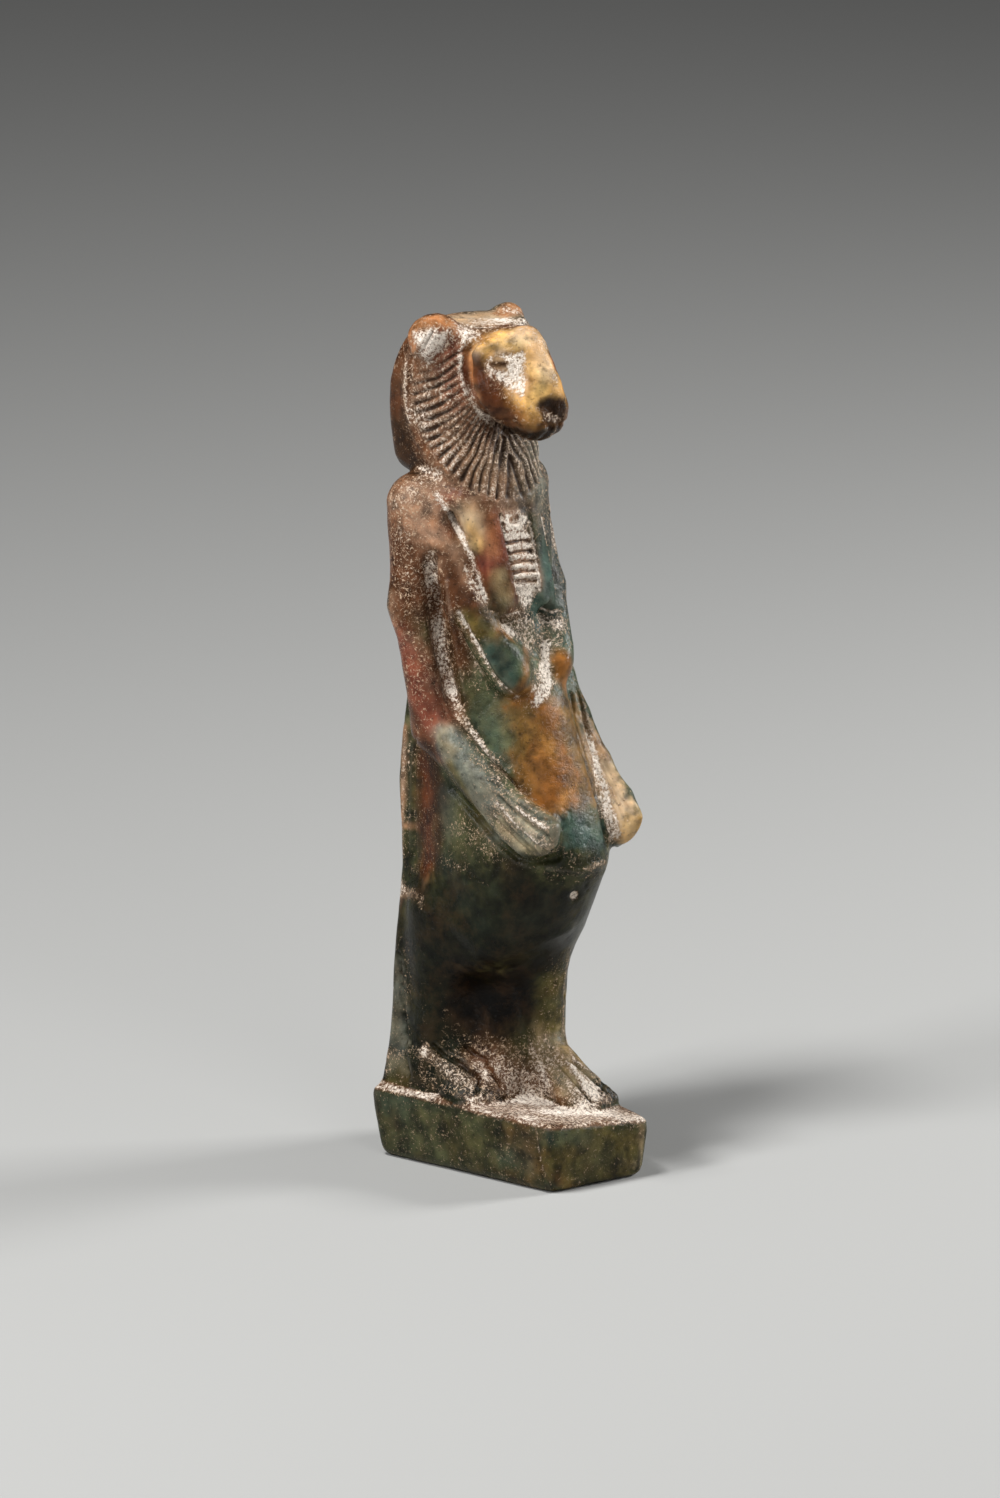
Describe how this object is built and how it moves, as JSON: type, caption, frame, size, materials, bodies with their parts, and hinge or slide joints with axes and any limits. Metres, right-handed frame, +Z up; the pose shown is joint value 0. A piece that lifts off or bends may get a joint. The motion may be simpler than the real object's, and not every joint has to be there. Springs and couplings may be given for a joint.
{
  "type": "taweret amulet",
  "caption": "Small carved stone figure of a striding goddess with a lioness head, pleated mane, full belly, back slab and pierced lug, standing on its own plinth.",
  "frame": {"origin": "centre of the plinth's flat underside, on the figure's middle line", "axes": "+Z up along the figure, -Y where it faces, -X its right side; it stands on its underside"},
  "size_m": [0.0162, 0.0228, 0.0701],
  "materials": {
    "mottled_stone": "semi-polished mottled green, ochre and pink-brown stone with pale grainy deposit in the creases"
  },
  "bodies": {
    "root": {"figure": "mottled_stone"}
  },
  "joints": []
}
